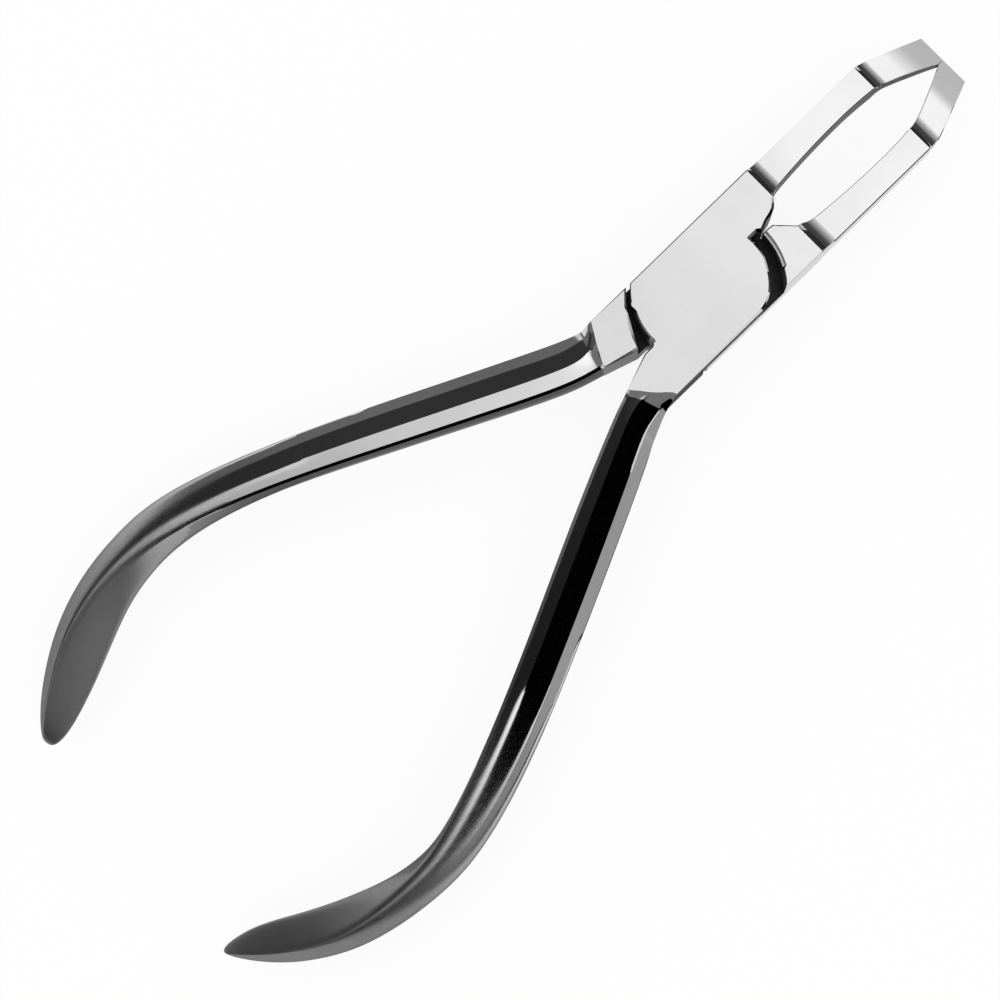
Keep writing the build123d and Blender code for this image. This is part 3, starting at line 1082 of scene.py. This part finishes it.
def make_lever(
    node_name, body, reach, stations, root, heel, notch, steps, crown_share, bore, turned,
):
    lever = joint_block(node_name, root, heel, notch, steps, bore)
    handle = make_handle(node_name + "_handle", reach, stations, heel, crown_share)
    bpy.ops.object.select_all(action="DESELECT")
    handle.select_set(True)
    lever.select_set(True)
    bpy.context.view_layer.objects.active = lever
    bpy.ops.object.join()
    tidy_flats(lever)
    break_edges(lever, steps[0], turned)
    if turned:
        over = Matrix.Translation((0, 0, 2 * MIDDLE)) @ Matrix.Rotation(math.pi, 4, "X")
        lever.data.transform(over)
    only(lever)
    bpy.ops.object.shade_smooth_by_angle(angle=SMOOTH_TURN)
    lever.modifiers.new("flat_faces", "WEIGHTED_NORMAL").keep_sharp = True
    apply_all(lever)
    lever.name = node_name + "_forging"
    lever.data.materials.clear()
    choose_finishes(lever, turned)
    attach(lever, body)
    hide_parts(node_name)
    print(lever.name, len(lever.data.polygons), "faces")
    return lever


front = make_lever(
    "front_lever", "front", -front_low.x, FRONT_STATIONS, FRONT_ROOT, FRONT_HEEL,
    FRONT_NOTCH, FRONT_STEPS, FRONT_CROWN, FRONT_BORE, False,
)
rear = make_lever(
    "rear_lever", "rear", -rear_low.x, REAR_STATIONS, REAR_ROOT, REAR_HEEL,
    REAR_NOTCH, REAR_STEPS, REAR_CROWN, REAR_BORE, True,
)

# %% [markdown]
# ## The rivet
# It is ground flush with both faces and can't be told from them by its shape, so the CAD node
# is used as it is and only gets the steel.

# %% Rivet
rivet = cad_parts["pivot_rivet"]
rivet.data.materials.clear()
rivet.data.materials.append(RIVET_STEEL)
print(rivet.name, len(rivet.data.polygons), "faces")

# %% [markdown]
# ## The camera
# The photograph was taken from nearly straight above, with the pliers lying aslant in the
# frame. The camera could be turned by trial. Here its place and the point it looks at are
# given in the pliers' own frame, and its axes are built from the two.

# %% Camera
IMAGE_SIDE = 1000
PIXELS_PER_MM = 8.34
SENSOR = 36.0
TURN = math.radians(44.3)
CAMERA_FOOT = Vector((-35.2, -23.6)) * MM
AIM = Vector((-34.6, -0.7, MIDDLE / MM)) * MM
CAMERA_HEIGHT = 287 * MM
FRAME_WIDTH = IMAGE_SIDE / PIXELS_PER_MM * MM

camera_place = Vector((CAMERA_FOOT.x, CAMERA_FOOT.y, MIDDLE + CAMERA_HEIGHT))
back = (camera_place - AIM).normalized()
across = Vector((math.cos(TURN), -math.sin(TURN), 0))
up = back.cross(across).normalized()
across = up.cross(back).normalized()
camera_axes = Matrix((across, up, back)).transposed()
camera_data = bpy.data.cameras.new("camera")
camera_data.sensor_width = SENSOR
camera_data.lens = SENSOR * (camera_place - AIM).length / FRAME_WIDTH
camera_data.clip_start = 0.01
camera_data.clip_end = 50.0
camera = bpy.data.objects.new("camera", camera_data)
camera.matrix_world = Matrix.Translation(camera_place) @ camera_axes.to_4x4()
bpy.context.scene.collection.objects.link(camera)
bpy.context.scene.camera = camera
print("lens", round(camera_data.lens, 1), "mm,", round(CAMERA_HEIGHT / MM), "mm above the joint")

# %% [markdown]
# ## Floor, tent and lights
# Polished steel is hardly seen itself: it shows what stands round it. A product photographer
# puts such pliers in a tent of white and black cards, one soft light overhead and darkness at
# the sides, so that each facet takes one plain grey. The same is done here. The cards show in
# reflections alone, and a white world gives the floor its light and its soft shadow. The floor
# itself is a little brighter to the camera and in reflections than its own colour makes it.

# %% Floor
FLOOR_SIDE = 8
FLOOR_GAP = 0.01 * MM
FLOOR_WHITE = 0.95
# Shares of plain glow that the camera and a reflection see
CAMERA_GLOW = 0.9
MIRROR_GLOW = 0.3


def plain_material(name, colour):
    material = bpy.data.materials.new(name)
    material.use_nodes = True
    shader = material.node_tree.nodes["Principled BSDF"]
    shader.inputs["Base Color"].default_value = (*colour, 1)
    shader.inputs["Roughness"].default_value = 0.9
    shader.inputs["Specular IOR Level"].default_value = 0.0
    return material


def floor_material():
    """White, a little of it glowing where the camera or a reflection sees it."""
    material = plain_material("floor", (FLOOR_WHITE, FLOOR_WHITE, FLOOR_WHITE))
    tree = material.node_tree
    glow = node(tree, "ShaderNodeEmission", {"Color": (1, 1, 1, 1), "Strength": 1.0})
    path = node(tree, "ShaderNodeLightPath")
    seen = node(tree, "ShaderNodeMath", {1: CAMERA_GLOW}, operation="MULTIPLY")
    mirrored = node(tree, "ShaderNodeMath", operation="ADD")
    share = node(tree, "ShaderNodeMath", {1: MIRROR_GLOW}, operation="MULTIPLY_ADD")
    mixed = node(tree, "ShaderNodeMixShader")
    tree.links.new(path.outputs["Is Camera Ray"], seen.inputs[0])
    tree.links.new(path.outputs["Is Glossy Ray"], mirrored.inputs[0])
    tree.links.new(path.outputs["Is Transmission Ray"], mirrored.inputs[1])
    tree.links.new(mirrored.outputs[0], share.inputs[0])
    tree.links.new(seen.outputs[0], share.inputs[2])
    tree.links.new(share.outputs[0], mixed.inputs[0])
    tree.links.new(tree.nodes["Principled BSDF"].outputs[0], mixed.inputs[1])
    tree.links.new(glow.outputs[0], mixed.inputs[2])
    tree.links.new(mixed.outputs[0], tree.nodes["Material Output"].inputs["Surface"])
    return material


def card(name, centre, size, turn, material):
    """A flat card whose place is in its mesh, so that its pattern can be given in metres."""
    bpy.ops.object.select_all(action="DESELECT")
    bpy.ops.mesh.primitive_plane_add(size=1)
    made = bpy.context.object
    made.name = name
    place = Matrix.Translation(centre) @ Euler(turn).to_matrix().to_4x4()
    made.data.transform(place @ Matrix.Diagonal((size[0], size[1], 1, 1)))
    made.data.materials.append(material)
    return made


floor_place = (0, 0, cad_low.z - FLOOR_GAP)
floor = card("floor", floor_place, (FLOOR_SIDE, FLOOR_SIDE), (0, 0, 0), floor_material())
print(floor.name, FLOOR_SIDE, "m wide")

# %% [markdown]
# ## Patterns of light
# Each facet mirrors one small part of the tent, so the greys of the photograph are set where
# that part lies. A lamp for each would leave hard spots. Instead a card glows with a pattern:
# a colour ramp along each axis, the two multiplied, and the brighter of such layers shown.

# %% Light patterns
TENT = 3.0


def overhead(angle):
    """Where a direction so many degrees from the zenith meets the tent's ceiling."""
    return TENT * math.tan(math.radians(angle))


def profile(tree, axis, stops):
    """Brightness along one axis: stops are (place in metres, value up to 1)."""
    first, last = stops[0][0], stops[-1][0]
    where = node(tree, "ShaderNodeTexCoord")
    split = node(tree, "ShaderNodeSeparateXYZ")
    share = node(tree, "ShaderNodeMapRange", {1: first, 2: last})
    scale = node(tree, "ShaderNodeValToRGB")
    tree.links.new(where.outputs["Object"], split.inputs[0])
    tree.links.new(split.outputs[axis], share.inputs["Value"])
    tree.links.new(share.outputs["Result"], scale.inputs["Fac"])
    elements = scale.color_ramp.elements
    elements.remove(elements[0])
    for number, (place, value) in enumerate(stops):
        position = (place - first) / (last - first)
        stop = elements[0] if number == 0 else elements.new(position)
        stop.position = position
        stop.color = (value, value, value, 1)
    return scale.outputs["Color"]


def join(tree, first, second, operation):
    both = node(tree, "ShaderNodeMath", operation=operation)
    tree.links.new(first, both.inputs[0])
    tree.links.new(second, both.inputs[1])
    return both.outputs[0]


def light_pattern(name, strength, layers):
    """Emission: in a layer the profiles are multiplied, and the brightest layer shows."""
    material = bpy.data.materials.new(name)
    material.use_nodes = True
    tree = material.node_tree
    tree.nodes.remove(tree.nodes["Principled BSDF"])
    shown = None
    for layer in layers:
        made = None
        for axis, stops in layer:
            found = profile(tree, axis, stops)
            made = found if made is None else join(tree, made, found, "MULTIPLY")
        shown = made if shown is None else join(tree, shown, made, "MAXIMUM")
    level = node(tree, "ShaderNodeMath", {1: strength}, operation="MULTIPLY")
    glow = node(tree, "ShaderNodeEmission", {"Color": (1, 1, 1, 1)})
    tree.links.new(shown, level.inputs[0])
    tree.links.new(level.outputs[0], glow.inputs["Strength"])
    tree.links.new(glow.outputs[0], tree.nodes["Material Output"].inputs["Surface"])
    return material


# %% Ceiling
# The soft light overhead, as degrees from the zenith towards +X and towards +Y: the main light,
# a dim part that the handles mirror, and a corner of the tent
CEILING_STRENGTH = 1.84
ALONG = [
    (-45, 0.0), (-17, 0.10), (-15, 0.15), (-12.5, 0.30), (-10.4, 0.50), (-8, 0.60),
    (-4, 0.76), (7, 0.77), (10, 0.86), (12, 0.92), (15, 0.90), (20, 0.78),
    (25, 0.62), (33, 0.44), (41, 0.31), (45, 0.26),
]
ACROSS = [
    (-45, 0.0), (-20, 0.0), (-14, 0.95), (-5, 1.0), (-1, 0.96), (3, 0.74), (9, 0.74),
    (11, 0.40), (13, 0.05), (16, 0.028), (45, 0.026),
]
BEHIND_X = [(-45, 0.12), (-16.5, 0.12), (-14.5, 0.0), (45, 0.0)]
BEHIND_Y = [(-45, 1.0), (18, 1.0), (26, 0.45), (45, 0.45)]
CORNER_X_STOPS = [(-45, 0.0), (30, 0.0), (34, 0.33), (45, 0.33)]
CORNER_Y_STOPS = [(-45, 1.0), (-24, 1.0), (-20, 0.0), (45, 0.0)]


def over(stops):
    return [(overhead(angle), value) for angle, value in stops]


CEILING = light_pattern(
    "ceiling_light",
    CEILING_STRENGTH,
    [
        [("X", over(ALONG)), ("Y", over(ACROSS))],
        [("X", over(BEHIND_X)), ("Y", over(BEHIND_Y))],
        [("X", over(CORNER_X_STOPS)), ("Y", over(CORNER_Y_STOPS))],
    ],
)

# %% Walls
# Stops are places in metres, along the wall or above the floor, and a brightness
WALL_LEFT = light_pattern(
    "left_wall_light", 1.0,
    [
        [("Z", [(0, 0.17), (1.3, 0.17), (1.7, 0.04), (3, 0.04)])],
        [
            ("X", [(-3, 0.0), (-1.1, 0.0), (-0.7, 0.8), (0.0, 0.8), (0.3, 0.0), (3, 0.0)]),
            ("Z", [(0, 1.0), (1.05, 1.0), (1.3, 0.0), (3, 0.0)]),
        ],
    ],
)
WALL_RIGHT = light_pattern(
    "right_wall_light", 1.0,
    [
        [
            ("X", [(-3, 0.0), (-0.85, 0.0), (-0.5, 1.0), (3, 1.0)]),
            ("Z", [(0, 0.0), (0.45, 0.0), (0.6, 0.42), (1.65, 0.42), (1.85, 0.0), (3, 0.0)]),
        ],
        [
            ("X", [(-3, 0.0), (-0.4, 0.0), (0.0, 1.0), (3, 1.0)]),
            ("Z", [(0, 0.0), (1.85, 0.0), (2.1, 1.0), (3, 1.0)]),
        ],
        [
            ("X", [(-3, 0.0), (0.8, 0.0), (1.2, 0.6), (3, 0.6)]),
            ("Z", [(0, 0.0), (0.9, 0.0), (1.2, 1.0), (3, 1.0)]),
        ],
    ],
)
WALL_FRONT = light_pattern(
    "front_wall_light", 1.0,
    [
        [("Z", [(0, 0.06), (1.3, 0.09), (1.9, 0.16), (2.5, 0.30), (3, 0.44)])],
        [
            ("Y", [(-3, 0.6), (-1.0, 0.6), (-0.7, 0.0), (3, 0.0)]),
            ("Z", [(0, 0.0), (0.9, 0.0), (1.2, 1.0), (3, 1.0)]),
        ],
    ],
)
WALL_BACK = light_pattern("back_wall_light", 1.0, [[("Z", [(0, 0.2), (3, 0.22)])]])
# A dark card close beyond the tips, as photographers put up to draw a bright piece's end
FLAG = light_pattern("flag_light", 1.0, [[("Z", [(0, 0.07), (0.1, 0.07)])]])

# %% Cards of the tent
quarter = math.radians(90)
for name, centre, size, turn, material in (
    ("flag", (0.06, 0, 0.01), (0.02, 0.12), (0, quarter, 0), FLAG),
    ("ceiling", (0, 0, TENT), (2 * TENT, 2 * TENT), (0, 0, 0), CEILING),
    ("left_wall", (0, TENT, TENT / 2), (2 * TENT, TENT), (quarter, 0, 0), WALL_LEFT),
    ("right_wall", (0, -TENT, TENT / 2), (2 * TENT, TENT), (quarter, 0, 0), WALL_RIGHT),
    ("front_wall", (TENT, 0, TENT / 2), (TENT, 2 * TENT), (0, quarter, 0), WALL_FRONT),
    ("back_wall", (-TENT, 0, TENT / 2), (TENT, 2 * TENT), (0, quarter, 0), WALL_BACK),
):
    made = card(name, centre, size, turn, material)
    made.visible_camera = False
    made.visible_diffuse = False
    made.visible_shadow = False
    made.visible_transmission = False
    print(made.name, "shows in reflections only")

# %% [markdown]
# ## World
# A plain white world lights the floor evenly and leaves a soft shadow under the pliers.

# %% World
world = bpy.data.worlds.new("studio")
bpy.context.scene.world = world
world.use_nodes = True
world.node_tree.nodes["Background"].inputs["Color"].default_value = (1, 1, 1, 1)
world.node_tree.nodes["Background"].inputs["Strength"].default_value = 1.0

bpy.context.scene.view_settings.view_transform = "Standard"
print("view transform:", bpy.context.scene.view_settings.view_transform)
